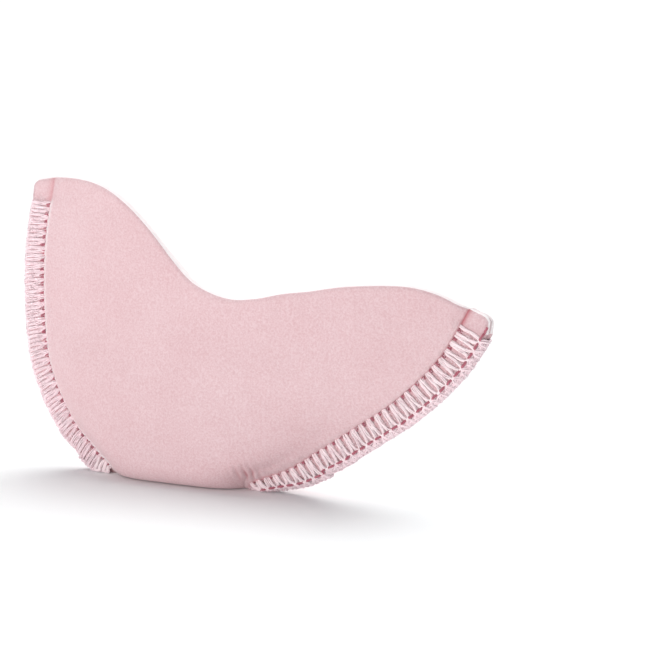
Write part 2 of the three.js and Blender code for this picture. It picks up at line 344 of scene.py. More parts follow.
def cloth_columns():
    """The cloth's columns from left to right: a band, the panel between the stitches, a band."""
    band = np.linspace(0, 1, BAND_COLUMNS, endpoint=False)
    even = np.linspace(0, 1, PANEL_COLUMNS + 1)
    crowded = (1 - np.cos(np.pi * even)) / 2
    panel = even * COLUMN_EVENNESS + crowded * (1 - COLUMN_EVENNESS)
    ones = np.ones(BAND_COLUMNS)
    return {
        "side": np.concatenate([LEFT * ones, np.where(panel < 0.5, LEFT, RIGHT), RIGHT * ones]),
        "inside": np.concatenate([band, np.ones(len(panel)), band[::-1]]),
        "panel": np.concatenate([0 * ones, panel, ones]),
        "band": np.concatenate([ones, np.zeros(len(panel)), ones]) > 0,
    }


def places_at(columns, along):
    """Where every column lies on the levels: a grid of rows by columns for each measure."""
    side, inside, panel, band = (columns[k][None, :] for k in ("side", "inside", "panel", "band"))
    a = along[:, None] + np.zeros_like(panel)
    # The wing tips' corners are rounded: their last rows stop short
    in_from_edge = np.where(band, inside, 1) * seam_width(side, a)
    tip = by_side(side, TIP_ROUND)
    round_off = tip - np.sqrt(np.maximum(tip**2 - (tip - in_from_edge) ** 2, 0))
    short = np.where(in_from_edge < tip, round_off, 0)
    length = by_side(side, {s: SEAMS[s].length for s in SIDES})
    a = a - short / length * a**TIP_ROUND_POWER
    half, depth = level(a)[1], level(a)[4]
    widths = {s: band_width(s, a) for s in SIDES}
    left = -half + widths[LEFT]
    right = half - widths[RIGHT]
    panel_offset = left + (right - left) * panel
    flare = by_side(side, TIP_FLARE) * smooth((a - TIP_FLARE_FROM) / TIP_FLARE_RUN) * (1 - inside)
    band_offset = side * (half - inside * by_side(side, widths) + flare)
    from_stitch = np.where(band, 0, np.minimum(panel_offset - left, right - panel_offset))
    power = TOE_LENS_POWER + (MOUTH_LENS_POWER - TOE_LENS_POWER) * smooth(a * LENS_RATE)
    lens = 1 - np.abs(2 * panel - 1) ** power
    puff = smooth(from_stitch / SEAM_PUFF)
    distance = by_side(side, {s: SEAMS[s].distance(a) for s in SIDES})
    sewn_to = by_side(side, {s: SEAMS[s].length - BARE_TIP[s] for s in SIDES})
    stitches = (distance - by_side(side, FIRST_STITCH)) / by_side(side, PITCH)
    return {
        "along": a,
        "offset": np.where(band, band_offset, panel_offset),
        "twist_run": np.where(band, seam_width(side, a) * (1 - inside), 0),
        "side": side + np.zeros_like(a),
        "in_panel": np.where(band, 0, 1 - (2 * panel - 1) ** DROP_POWER),
        "half_gap": np.where(band, SEAM_HALF, SEAM_HALF + (depth - SEAM_HALF) * lens),
        "thickness": SEAM_THICKNESS + (WALL_THICKNESS - SEAM_THICKNESS) * np.where(band, 0, puff),
        "from_stitch": np.where(band, -(1 - inside) * seam_width(side, a), from_stitch),
        "phase": stitches * math.tau,
        "sewn": smooth((sewn_to - distance) / SEWN_FADE),
    }


def grid_normals(grid):
    """Directions square to a grid of points."""
    return unit(np.cross(np.gradient(grid, axis=0), np.gradient(grid, axis=1)))


def wall(face, columns, levels):
    """One wall from the mouth down to the toe's corner, in front or at the back."""
    p = places_at(columns, levels[::-1])
    drop = BACK_PANEL_DROP if face == BACK else 0
    sheet = sheet_point(*(p[key] for key in SHEET_MEASURES), drop=drop)
    forward = grid_normals(sheet)
    forward *= -np.sign(forward[..., 1:2])
    # Near the foot the walls stand square, as the foot does
    blend = smooth(p["along"] / SQUARE_TO_FOOT)[..., None]
    forward = unit(forward * blend + np.array([0, -1, 0]) * (1 - blend))
    return sheet - face * p["half_gap"][..., None] * forward, p


def foot(columns):
    """The rounded corners and flat foot under the toe, from the front wall to the back one."""
    p = places_at(columns, np.zeros(1))
    half_gap = p["half_gap"][0]
    radius = np.minimum(TOE_CORNER_RADIUS, half_gap)
    base = sheet_point(*(p[key] for key in SHEET_MEASURES))[0]
    rows = []

    def add(depth, height):
        row = base.copy()
        row[:, 1] += depth
        row[:, 2] = p["thickness"][0] / 2 + height
        rows.append(row)

    def corner(i):
        turn = math.pi / 2 * i / CORNER_ROWS
        return half_gap - radius + radius * math.cos(turn), radius * (1 - math.sin(turn))

    for i in range(1, CORNER_ROWS + 1):
        depth, height = corner(i)
        add(-depth, height)
    for i in range(1, FOOT_ROWS):
        add((-1 + 2 * i / FOOT_ROWS) * (half_gap - radius), 0)
    for i in range(CORNER_ROWS, 0, -1):
        add(*corner(i))
    return np.stack(rows), {k: np.repeat(v, len(rows), axis=0) for k, v in p.items()}


def eased(grid):
    """The inner rows of a grid, each moved halfway to the mean of its neighbours."""
    return grid[1:-1] * 0.5 + (grid[:-2] + grid[2:]) * 0.25


def ease_joints(grid, near, far):
    """Rounds the grid at the rows near and far, where the walls meet the foot."""
    row = np.arange(len(grid))
    into_wall = np.maximum(near - row, row - far)
    into_foot = np.minimum(row - near, far - row)
    share = np.where(
        into_wall >= 0, bell(into_wall / EASE_WALL_ROWS), bell(into_foot / EASE_FOOT_ROWS)
    )
    share[[0, -1]] = 0
    for _ in range(EASE_ROUNDS):
        grid[1:-1] += (eased(grid) - grid[1:-1]) * share[1:-1, None, None]
    return grid


def pouch_sheet(columns, levels):
    """The middle of the cloth, from the mouth in front to the one behind, and its measures."""
    front, front_places = wall(FRONT, columns, levels)
    under, under_places = foot(columns)
    back, back_places = wall(BACK, columns, levels)
    middle = np.concatenate([front, under, back[::-1]])
    middle = ease_joints(middle, len(levels) - 1, len(levels) + len(under))
    places = {
        k: np.concatenate([front_places[k], under_places[k], back_places[k][::-1]])
        for k in front_places
    }
    return middle, places


def outward_normals(middle):
    """Directions out of the pouch, eased from row to row."""
    normals = grid_normals(middle)
    rows, count = middle.shape[:2]
    if normals[rows // 4, count // 2, 1] > 0:
        normals = -normals
    for _ in range(NORMAL_ROUNDS):
        normals[1:-1] = eased(normals)
    return unit(normals)


def gathers_at(middle, p, front_rows):
    """Small gathers in front, beside the start of the right seam: up to 1 in their valleys."""
    x, z = middle[..., 0], middle[..., 2]
    across = (x - SEAMS[RIGHT].needle[0, 0] - GATHERS_FROM_SEAM) / GATHERS_REACH
    up = (z - GATHERS_HEIGHT) / GATHERS_RISE
    folds = np.cos(math.tau * (x - GATHERS_SLOPE * z) / GATHERS_PITCH)
    return folds * np.exp(-(across**2 + up**2)) * front_rows[:, None] * (p["from_stitch"] > 0)


def relief_at(middle, p, front_rows, gathers):
    """How far the outer face stands out from the plain cloth."""
    x = p["from_stitch"]
    on_panel = x > ON_STITCH
    roll = ROLL_HEIGHT * bell((x - ROLL_FROM_STITCH) / ROLL_WIDTH) * on_panel
    pucker = np.cos(p["phase"]) * bell(np.maximum(x, 0) / PUCKER_REACH) * on_panel
    relief = roll * p["sewn"] - PUCKER_DEPTH * pucker * p["sewn"] - GATHERS_DEPTH * gathers
    shift = np.where(front_rows, 0, BACK_SHIFT)[:, None]
    for height, seed, longest, fade in (SOFT_RELIEF, FINE_RELIEF):
        uneven = waves(middle[..., 0], middle[..., 2] + shift, seed, longest)
        relief = relief + height * uneven * smooth(x / fade)
    return relief + BAND_SWELL * smooth(-x / BAND_SWELL_REACH) * (x < 0) * p["sewn"]


def new_object(name, data):
    obj = bpy.data.objects.new(name, data)
    bpy.context.scene.collection.objects.link(obj)
    return obj


def new_mesh(name, points, faces, materials, slots, measures):
    """A smooth mesh object from points in millimetres of the source's frame."""
    mesh = bpy.data.meshes.new(name)
    mesh.from_pydata(((points + TO_FRAME) * METRES).tolist(), [], faces)
    for material in materials:
        mesh.materials.append(material)
    mesh.polygons.foreach_set("material_index", np.asarray(slots, np.int32))
    mesh.polygons.foreach_set("use_smooth", np.ones(len(mesh.polygons), bool))
    for key, values in measures.items():
        layer = mesh.attributes.new(key, "FLOAT", "POINT")
        layer.data.foreach_set("value", np.asarray(values, np.float32))
    mesh.update()
    return new_object(name, mesh)


def make_pouch(materials):
    levels = (np.arange(WALL_ROWS + 1) / WALL_ROWS) ** LEVEL_POWER
    levels = np.sort(np.concatenate([levels, 1 - np.array(CUT_EDGE_LEVELS)]))
    middle, p = pouch_sheet(cloth_columns(), levels)
    rows, count = middle.shape[:2]
    front_rows = np.arange(rows) < len(levels)
    wall_rows = front_rows | front_rows[::-1]

    # The outer and the inner face
    x = p["from_stitch"]
    gathers = gathers_at(middle, p, front_rows)
    relief = wall_rows[:, None] * smooth(p["along"] / RELIEF_FROM)
    relief = relief * relief_at(middle, p, front_rows, gathers)
    close = BAND_CLOSE * smooth(-x / BAND_CLOSE_REACH) * (x < 0)
    to_mouth = np.minimum(*(np.linalg.norm(middle - middle[end], axis=-1) for end in (0, -1)))
    rounding = CUT_EDGE_ROUND * (1 - np.clip(to_mouth / CUT_EDGE_REACH, 0, 1)) ** 2
    half = p["thickness"] / 2
    normals = outward_normals(middle)
    outer = middle + normals * (half + relief - rounding)[..., None]
    inner = middle - normals * (half - CUT_EDGE_INNER * rounding + close)[..., None]
    outer[..., 2] = np.maximum(outer[..., 2], 0)
    inner[..., 2] = np.maximum(inner[..., 2], INNER_FLOOR)

    points = [outer.reshape(-1, 3), inner.reshape(-1, 3)]
    total = rows * count
    outside = np.arange(total).reshape(rows, count)
    inside = outside + total
    faces, slots = [], []

    def quads(grid, order, slot):
        """Faces between the rows and columns of a grid, with their four corners in an order."""
        corners = (grid[:-1, :-1], grid[1:, :-1], grid[1:, 1:], grid[:-1, 1:])
        block = np.stack([corners[k].ravel() for k in order], 1)
        faces.extend(block.tolist())
        slots.extend([slot] * len(block))

    quads(outside, (0, 1, 2, 3), KNIT)
    quads(inside, (0, 3, 2, 1), LINING)

    # The cut edge at the mouth, crowned and a little rough, in front and behind
    rng = np.random.default_rng(CUT_EDGE_SEED)
    start = 2 * total
    rims = []
    for row, below, order in ((0, 1, (0, 3, 2, 1)), (-1, -2, (1, 2, 3, 0))):
        up = unit(middle[row] - middle[below])
        rim = []
        for i in range(1, RIM_POINTS + 1):
            t = i / (RIM_POINTS + 1)
            crown = CUT_EDGE_CROWN * (1 - (2 * t - 1) ** 2)
            crown = crown + rng.uniform(-1, 1, count) * CUT_EDGE_ROUGH
            rim.append(outer[row] * (1 - t) + inner[row] * t + up * crown[:, None])
        points.append(np.concatenate(rim))
        index = start + np.arange(RIM_POINTS * count).reshape(RIM_POINTS, count)
        start += RIM_POINTS * count
        rims.append(np.concatenate([outside[row][None], index, inside[row][None]]))
        quads(rims[-1], order, FOAM)
    # The laminate's two side edges, under the thread
    for j, turn in ((0, 1), (count - 1, -1)):
        for i in range(rows - 1):
            face = [outside[i, j], inside[i, j], inside[i + 1, j], outside[i + 1, j]]
            if i == 0:
                face = [*rims[0][:, j], inside[1, j], outside[1, j]]
            if i == rows - 2:
                face = [outside[i, j], inside[i, j], *rims[1][::-1, j]]
            faces.append([int(f) for f in face[::turn]])
            slots.append(KNIT if p["sewn"][i, j] > 0.5 else FOAM)

    # Where the knit is painted darker, in its creases and gathers and in a band under the threads
    # (painted shade, partly the squeezed knit's deeper colour), and where its crest shows a
    # painted highlight
    crease_shade = bell(x / np.where(x < 0, CREASE_SHADE_ON_BAND, CREASE_SHADE_ON_PANEL))
    crease_shade = crease_shade * by_side(p["side"], CREASE_SHADE_SHARE)
    crease_shade = np.maximum(crease_shade, GATHERS_SHADE * np.maximum(gathers, 0) ** 2)
    # Painted highlight on the roll's crest beside the stitches, mostly on the left
    crest_highlight = bell((x - HIGHLIGHT_FROM_STITCH) / HIGHLIGHT_WIDTH) * by_side(p["side"], HIGHLIGHT_SHARE)
    # The band under the threads, painted a little darker: painted shade between the threads,
    # partly the squeezed knit
    band = np.where(x < ON_STITCH, p["sewn"], 0)
    on_rims = np.zeros(start - 2 * total)
    measures = {
        name: np.concatenate([values.ravel(), values.ravel(), on_rims])
        for name, values in (("crease_shade", crease_shade), ("band", band), ("crest_highlight", crest_highlight * p["sewn"]))
    }
    return new_mesh("pouch_cloth", np.concatenate(points), faces, materials, slots, measures)


# The stitching. A thread's place round the edge of a seam is q: 0 at the front's needle line and
# 1 at the back's. A row has q, the distance from the outer edge as a share of the seam's width and
# as a length more, and the depth from the seam's middle.
THREAD_WAY = np.array([
    (0.0, -1.03, 0.0, -1.1),
    (0.06, -0.87, 0.0, -1.52),
    (0.2, -0.5, 0.0, -1.7),
    (0.34, -0.12, 0.0, -1.62),
    (0.42, 0.0, 0.3, -1.3),
    (0.47, 0.0, 0.66, -0.7),
    (0.52, 0.0, 0.76, 0.05),
    (0.57, 0.0, 0.66, 0.75),
    (0.64, -0.05, 0.2, 1.5),
    (0.8, -0.5, 0.0, 1.7),
    (0.94, -0.87, 0.0, 1.52),
    (1.0, -1.03, 0.0, 1.1),
])
WAY_STEP = 0.01
# A soft thread: the radius of its ring of filaments, their number, radius and material slot, its
# twist in radians a millimetre, how much wider it is than high, and its points between two keys
Yarn = namedtuple("Yarn", "radius filaments thickness slot twist flatness per_span")
# The right front looper is in the pale thread painted lighter, as a painted highlight on its ribs
FRONT_LOOPER = {
    LEFT: Yarn(0.15, 5, 0.16, PALE, 0.5, 1.75, 2),
    RIGHT: Yarn(0.15, 4, 0.2, PAINTED_HIGHLIGHT, 0.5, 1.4, 2),
}
BACK_LOOPER = {
    LEFT: Yarn(0.2, 5, 0.18, PALE, 0.5, 1.75, 2),
    RIGHT: Yarn(0.2, 5, 0.18, PALE, 0.5, 1.4, 2),
}
CHAIN_THREAD = Yarn(0.11, 3, 0.15, DEEP, 2.0, 1.4, 3)
CORE_THREAD = Yarn(0.2, 3, 0.24, PALE, 0.8, 1.5, 2)
NEEDLE_DOT_AND_SHADE = {
    LEFT: Yarn(0.24, 4, 0.15, DEEP, 1.0, 1.4, 3),
    RIGHT: Yarn(0.13, 4, 0.15, DEEP, 1.0, 1.4, 3),
}
NEEDLE_THREAD = Yarn(0.1, 3, 0.11, DEEP, 2.0, 1.3, 3)
FIRST_LOOPS = Yarn(0.2, 5, 0.19, PAINTED_HIGHLIGHT, 0.6, 1.25, 3)
FILAMENT_SIDES = 5
# Filaments wander round their ring and in and out of it, in waves of so many radians a millimetre
WANDER, WANDER_WAVES = 0.5, (0.7, 1.4)
BREATH, BREATH_WAVES = 0.18, (1.2, 2.4)
ANY_PHASE = (0, 6)
THICKNESS_SHARE = (0.85, 1.15)
THREAD_SEED = {LEFT: 11, RIGHT: 12}
THREAD_FLOOR = 0.02
# The loopers. Their legs stand LEG_SPREAD of a stitch from its ends and draw in to GATHER at the
# chain: a half would bring them together.
LEG_SPREAD = {LEFT: 0.25, RIGHT: 0.16}
GATHER = {LEFT: 0.2, RIGHT: 0.27}
LOOP_HEIGHT = 0.06
# A leg's keys on its way out, and its heights at the needle line, just past it and at its end
LEG_OUT = [0.0, 0.12, 0.36, 0.68, 1.0]
LEG_SUNK, LEG_LOW, LEG_END = -0.1, 0.02, 0.1
LEG_FIRST, LEG_SECOND = 0.1, 0.06  # how far into the stitch its first two keys are, at least
LEG_SECOND_SHARE = 0.4
# How much the stitches differ, in place, slant and height
STITCH_SCATTER, SLANT_SCATTER, HEIGHT_SCATTER = 0.05, 0.06, 0.03
# Where the chain lies, and where the loops turn and end near it
CHAIN = {LEFT: 0.56, RIGHT: 0.365}
FRONT_TURN, FRONT_END = -0.015, 0.02
BACK_TURN, BACK_END = 0.06, 0.035
CHAIN_IN = 0.012
CHAIN_RAISED, CHAIN_SUNK = 0.4, -0.1
CHAIN_TAIL = {LEFT: 0.0, RIGHT: 1.2}
CHAIN_SHORT_OF_TIP = 0.9
# Loose thread along the edge, under the loops
CORE_PLACES = (0.43, 0.47, 0.52, 0.57)
CORE_START, CORE_STEP, CORE_HEIGHT, CORE_SCATTER = 0.3, 0.9, -0.22, 0.006
# The needle thread, on both faces
NEEDLE_PLACES = (0.01, 0.99)
NEEDLE_RAISED, NEEDLE_SUNK = 0.1, -0.2
RAISED_FROM, RAISED_TO = 0.28, 0.72
# The deep dots between two loops, partly the needle thread and partly painted shade in the holes:
# how far out they reach, and their rise and fall
DOT_SCATTER = 0.12
DOT_REACH = (0.06, 0.1)
DOT_RISE, DOT_FALL = 0.12, -0.04
DOT_SLANT = 0.1
# Thicker loops where the sewing starts: their number, needle line, turn, end and height
FIRST_LOOP_COUNT = 2
FIRST_LOOP_PLACES = (0.02, 0.34, 0.38, 0.3)
# Stray fibres
FIBRE_COUNT = 900
FIBRE_SIDES = 3
FIBRE_PLACE, FIBRE_SCATTER = 0.27, 0.14
FIBRE_STARTS = (0.05, 0.95)
FIBRE_ENDS = (0.03, 0.97)
FIBRE_STEPS = 4
FIBRE_STEP = 0.3
FIBRE_TURN = 0.9
FIBRE_Q_LENGTH = 12  # millimetres for the whole way round the edge
FIBRE_ROOT, FIBRE_HEIGHT, FIBRE_RISE = 0.2, 0.26, 0.16
FIBRE_THICKNESS = (0.025, 0.045)
FIBRE_POINTS = 2


def around(seam, distance, q, height):
    """Points of the thread's way round a seam, and the direction away from the cloth there."""
    width = seam.at(seam.width, distance)
    outward = seam.at(seam.outward, distance)
    square = seam.at(seam.square, distance)

    def flat(q):
        share, plus, depth = (curve(THREAD_WAY[:, 0], THREAD_WAY[:, k], q) for k in (1, 2, 3))
        return np.stack([share * width + plus, depth], -1)

    way = unit(flat(np.minimum(q + WAY_STEP, 1)) - flat(np.maximum(q - WAY_STEP, 0)))
    normal = outward * way[:, 1:2] - square * way[:, :1]
    here = flat(q)
    point = seam.at(seam.needle, distance) + outward * (width + here[:, 0])[:, None]
    return point + square * here[:, 1:2] + normal * height[:, None], normal


def spline(keys, per_span):
    """Points of a smooth curve through keys, with their last point."""
    keys = np.asarray(keys, float)
    padded = np.concatenate([2 * keys[:1] - keys[1:2], keys, 2 * keys[-1:] - keys[-2:-1]])
    t = (np.arange(per_span) / per_span)[:, None]
    spans = []
    for i in range(1, len(padded) - 2):
        a, b, c, d = padded[i - 1 : i + 3]
        bend = (2 * a - 5 * b + 4 * c - d) * t**2
        spans.append(0.5 * (2 * b + (c - a) * t + bend + (3 * b - a - 3 * c + d) * t**3))
    return np.concatenate([*spans, keys[-1:]])


def directions(path, normals):
    """Directions along a path, across it and away from the cloth."""
    tangent = unit(np.gradient(path, axis=0))
    across = unit(np.cross(tangent, normals))
    return tangent, across, np.cross(across, tangent)


class Strands:
    """Collects tubes into one mesh."""

    def __init__(self):
        self.points, self.faces, self.slots = [], [], []
        self.start = 0

    def tube(self, path, normals, radius, sides, slot):
        """A tube along a path, with a point at each end."""
        tangent, across, square = directions(path, normals)
        turn = (np.arange(sides) / sides * math.tau)[None, :, None]
        ring = across[:, None] * np.cos(turn) + square[:, None] * np.sin(turn)
        points = (path[:, None] + ring * radius).reshape(-1, 3)
        tips = np.stack([path[0] - tangent[0] * radius, path[-1] + tangent[-1] * radius])
        index = self.start + np.arange(len(points)).reshape(len(path), sides)
        after = np.roll(index, -1, axis=1)
        block = np.stack([index[:-1], after[:-1], after[1:], index[1:]], -1).reshape(-1, 4)
        self.faces.extend(block.tolist())
        first, last = self.start + len(points), self.start + len(points) + 1
        for k in range(sides):
            self.faces.append([first, int(after[0, k]), int(index[0, k])])
            self.faces.append([last, int(index[-1, k]), int(after[-1, k])])
        self.slots.extend([slot] * (len(block) + 2 * sides))
        self.points.extend([points, tips])
        self.start += len(points) + 2

    def thread(self, seam, keys, yarn, rng):
        """A yarn through keys of distance, q and height, whose filaments wander a little."""
        way = spline(keys, yarn.per_span)
        path, normals = around(seam, way[:, 0], np.clip(way[:, 1], 0, 1), way[:, 2])
        _, across, square = directions(path, normals)
        run = distances_along(path)
        for i in range(yarn.filaments):
            wander = WANDER * np.sin(run * rng.uniform(*WANDER_WAVES) + rng.uniform(*ANY_PHASE))
            turn = math.tau * i / yarn.filaments + yarn.twist * run + wander
            breath = BREATH * np.sin(run * rng.uniform(*BREATH_WAVES) + rng.uniform(*ANY_PHASE))
            reach = yarn.radius * (1 + breath)
            sideways = across * (np.cos(turn) * reach * yarn.flatness)[:, None]
            offset = sideways + square * (np.sin(turn) * reach)[:, None]
            thickness = yarn.thickness * rng.uniform(*THICKNESS_SHARE)
            self.tube(path + offset, normals, thickness, FILAMENT_SIDES, yarn.slot)

    def build(self, name, materials):
        points = np.concatenate(self.points)
        points[:, 2] = np.maximum(points[:, 2], THREAD_FLOOR)
        return new_mesh(name, points, self.faces, materials, self.slots, {})


def loops(seam, rng, needle, turn, end, height, stitches):
    """Keys of a looper thread, which runs out to the edge and back at each stitch.

    needle, turn and end are the places q where a leg starts, where it turns in and where it meets
    the chain.
    """
    spread = LEG_SPREAD[seam.side]
    # A leg's keys: how far out they are, how far into the stitch and how high above the cloth
    leg = list(zip(
        LEG_OUT,
        [LEG_FIRST, LEG_SECOND + LEG_SECOND_SHARE * spread, spread, spread, GATHER[seam.side]],
        [LEG_SUNK, LEG_LOW, height, height, LEG_END],
    ))
    keys = []

    def add(place, out, lift, slant):
        lift = lift + rng.uniform(-HEIGHT_SCATTER, HEIGHT_SCATTER)
        keys.append((place + slant * out, needle + (turn - needle) * out, lift))

    for i in range(stitches):
        start = seam.first + i * seam.pitch + rng.uniform(-STITCH_SCATTER, STITCH_SCATTER)
        slants = seam.slant + rng.uniform(-SLANT_SCATTER, SLANT_SCATTER, 2)
        for out, into, lift in leg:
            add(start + into * seam.pitch, out, lift, slants[0])
        keys.append((start + 0.5 * seam.pitch + seam.slant, end, LEG_END))
        for out, into, lift in reversed(leg):
            add(start + (1 - into) * seam.pitch, out, lift, slants[1])
    return keys


def lengthwise(seam, q, raised, sunk, shift, end):
    """Keys of a strand along the seam that rises between the stitches."""
    keys = []
    d = seam.first
    while d < end:
        for share, height in ((0, sunk), (RAISED_FROM, raised), (RAISED_TO, raised)):
            keys.append((d + shift + share * seam.pitch, q, height))
        d += seam.pitch
    return keys


def stray_fibre(seam, end, rng):
    """Keys of a short fibre that wanders over the loops."""
    d = rng.uniform(seam.first, end)
    q = float(np.clip(rng.normal(FIBRE_PLACE, FIBRE_SCATTER), *FIBRE_STARTS))
    keys = [(d, q, FIBRE_ROOT)]
    turn = rng.uniform(0, math.tau)
    for _ in range(FIBRE_STEPS):
        turn += rng.uniform(-FIBRE_TURN, FIBRE_TURN)
        d += FIBRE_STEP * math.cos(turn)
        q += FIBRE_STEP * math.sin(turn) / FIBRE_Q_LENGTH
        keys.append((d, q, FIBRE_HEIGHT + rng.uniform(0, FIBRE_RISE)))
    low, high = FIBRE_ENDS
    return [(d, min(max(q, low), high), height) for d, q, height in keys]


def make_overlock(side, name, materials):
    seam = SEAMS[side]
    rng = np.random.default_rng(THREAD_SEED[side])
    strands = Strands()
    chain = CHAIN[side]
    # The front looper, and the back looper, which wraps round the edge to meet it at the chain
    for needle, turn, tip, yarn in (
        (0.0, FRONT_TURN, FRONT_END, FRONT_LOOPER[side]),
        (1.0, BACK_TURN, BACK_END, BACK_LOOPER[side]),
    ):
        keys = loops(seam, rng, needle, chain + turn, chain + tip, LOOP_HEIGHT, seam.count)
        strands.thread(seam, keys, yarn, rng)
    # The chain near the edge, in the deep thread: its dashes between the loops are partly painted
    # shade in the gaps
    end = seam.first + seam.count * seam.pitch
    last = min(end + CHAIN_TAIL[side], seam.length - CHAIN_SHORT_OF_TIP)
    shift = seam.slant + 0.5 * seam.pitch
    links = lengthwise(seam, chain + CHAIN_IN, CHAIN_RAISED, CHAIN_SUNK, shift, last)
    strands.thread(seam, links, CHAIN_THREAD, rng)
    for q in CORE_PLACES:
        distances = np.arange(CORE_START, end, CORE_STEP)
        core = [(d, q + rng.uniform(-CORE_SCATTER, CORE_SCATTER), CORE_HEIGHT) for d in distances]
        strands.thread(seam, core, CORE_THREAD, rng)
    # Deep dots between the pinched loops: partly the needle thread, partly painted shade in the
    # holes there
    for i in range(seam.count):
        d = seam.first + (i + 0.5) * seam.pitch + rng.uniform(-DOT_SCATTER, DOT_SCATTER)
        reach = rng.uniform(*DOT_REACH)
        tip = d + DOT_SLANT * seam.slant
        dot = [(d, 0.0, 0.0), (d, 0.5 * reach, DOT_RISE), (tip, reach, DOT_FALL)]
        strands.thread(seam, dot, NEEDLE_DOT_AND_SHADE[side], rng)
    for q in NEEDLE_PLACES:
        needle = lengthwise(seam, q, NEEDLE_RAISED, NEEDLE_SUNK, 0, end)
        strands.thread(seam, needle, NEEDLE_THREAD, rng)
    first = loops(seam, rng, *FIRST_LOOP_PLACES, FIRST_LOOP_COUNT)
    strands.thread(seam, first, FIRST_LOOPS, rng)
    for _ in range(FIBRE_COUNT):
        way = spline(stray_fibre(seam, end, rng), FIBRE_POINTS)
        path, normals = around(seam, way[:, 0], way[:, 1], way[:, 2])
        strands.tube(path, normals, rng.uniform(*FIBRE_THICKNESS), FIBRE_SIDES, PALE)
    return strands.build(name, materials)


# Materials
LIGHT_LEVEL = 1.25
# Colour of the painted highlight on the knit's crest
HIGHLIGHT_COLOUR = (0.96, 0.93, 0.93, 1)
WHITE = (1, 1, 1, 1)
SPECULAR = 0.15
# Most of a noise's values lie between these
NOISE_LOW, NOISE_HIGH = 0.3, 0.7
# The colour sockets of a mix node, which share their names with its other ones
MIX_A, MIX_B, MIX_RESULT = 6, 7, 2


def tint(red, green, blue):
    """The colour of a cloth that shows as this sRGB colour under white light of LIGHT_LEVEL."""
    def linear(v):
        v /= 255
        return v / 12.92 if v <= 0.04045 else ((v + 0.055) / 1.055) ** 2.4

    return (*(linear(v) / LIGHT_LEVEL for v in (red, green, blue)), 1.0)


class Nodes:
    """A material's node tree, with short calls for the nodes that are used here."""

    def __init__(self, name):
        self.material = bpy.data.materials.new(name)
        self.material.use_nodes = True
        self.tree = self.material.node_tree
        self.shader = self.tree.nodes["Principled BSDF"]
        self.place = self.add("ShaderNodeTexCoord").outputs["Object"]

    def add(self, kind, inputs=(), **settings):
        """A new node. Its inputs, by name or number, take values or other nodes' outputs."""
        node = self.tree.nodes.new(kind)
        for key, value in settings.items():
            setattr(node, key, value)
        self.fill(node, inputs)
        return node

    def fill(self, node, inputs):
        for key, value in dict(inputs).items():
            if isinstance(value, bpy.types.NodeSocket):
                self.tree.links.new(value, node.inputs[key])
            else:
                node.inputs[key].default_value = value

    def noise(self, scale, detail=2.0, rough=0.5):
        inputs = {"Scale": scale, "Detail": detail, "Roughness": rough, "Vector": self.place}
        return self.add("ShaderNodeTexNoise", inputs).outputs["Fac"]

    def remap(self, value, low, high, to_low=0.0, to_high=1.0):
        inputs = {"From Min": low, "From Max": high, "To Min": to_low, "To Max": to_high}
        return self.add("ShaderNodeMapRange", {"Value": value, **inputs}).outputs["Result"]

    def spread(self, noise, to_low=0.0, to_high=1.0):
        return self.remap(noise, NOISE_LOW, NOISE_HIGH, to_low, to_high)

    def math(self, operation, a, b):
        return self.add("ShaderNodeMath", {0: a, 1: b}, operation=operation).outputs[0]

    def mix(self, share, a, b):
        inputs = {"Factor": share, MIX_A: a, MIX_B: b}
        return self.add("ShaderNodeMix", inputs, data_type="RGBA").outputs[MIX_RESULT]

    def measured(self, name, share):
        """A measure of the mesh's points, times a share."""
        measure = self.add("ShaderNodeAttribute", attribute_name=name).outputs["Fac"]
        return self.math("MULTIPLY", measure, share)

    def bump(self, height, distance, strength):
        inputs = {"Height": height, "Distance": distance, "Strength": strength}
        self.fill(self.shader, {"Normal": self.add("ShaderNodeBump", inputs).outputs["Normal"]})

    def finish(self, colour, roughness, sheen=0.0, sheen_roughness=0.5):
        self.fill(self.shader, {
            "Base Color": colour,
            "Roughness": roughness,
            "Sheen Weight": sheen,
            "Sheen Roughness": sheen_roughness,
            "Sheen Tint": WHITE,
            "Specular IOR Level": SPECULAR,
        })
        return self.material


def knit_material(name, light, dark, crease_shade_colour):
    """Brushed knit: fine speckles, soft patches and faint wales about a millimetre apart, with
    painted shade in creases and bands and a painted highlight on crests.
    """
    n = Nodes(name)
    speckle = n.noise(scale=2500, detail=3, rough=0.7)
    patches = n.noise(scale=60, detail=3)
    wave = {"Scale": 300, "Distortion": 1.5, "Detail": 1.0, "Detail Scale": 1.2, "Vector": n.place}
    wales = n.add(
        "ShaderNodeTexWave", wave, wave_type="BANDS", bands_direction="X", wave_profile="SIN"
    ).outputs["Fac"]
    speckled = n.remap(speckle, low=0.36, high=0.64, to_low=0.08, to_high=0.8)
    shade = n.math("ADD", speckled, n.spread(patches, to_high=0.25))
    shade = n.math("ADD", shade, n.math("MULTIPLY", wales, 0.05))
    colour = n.mix(shade, light, dark)
    # Painted shade: creases and the gathers' valleys darker, partly the squeezed knit's deeper
    # colour
    colour = n.mix(n.measured("crease_shade", 0.9), colour, crease_shade_colour)
    # Painted shade between the threads: the band a little darker, partly the squeezed knit
    colour = n.mix(n.measured("band", 0.12), colour, crease_shade_colour)
    # Painted highlight: the crest painted pale
    colour = n.mix(n.measured("crest_highlight", 0.65), colour, HIGHLIGHT_COLOUR)
    height = n.math("ADD", n.math("MULTIPLY", speckle, 0.8), n.math("MULTIPLY", wales, 0.15))
    n.bump(height, distance=0.00016, strength=0.6)
    roughness = n.spread(speckle, to_low=0.82, to_high=0.95)
    return n.finish(colour, roughness, sheen=0.25, sheen_roughness=0.45)


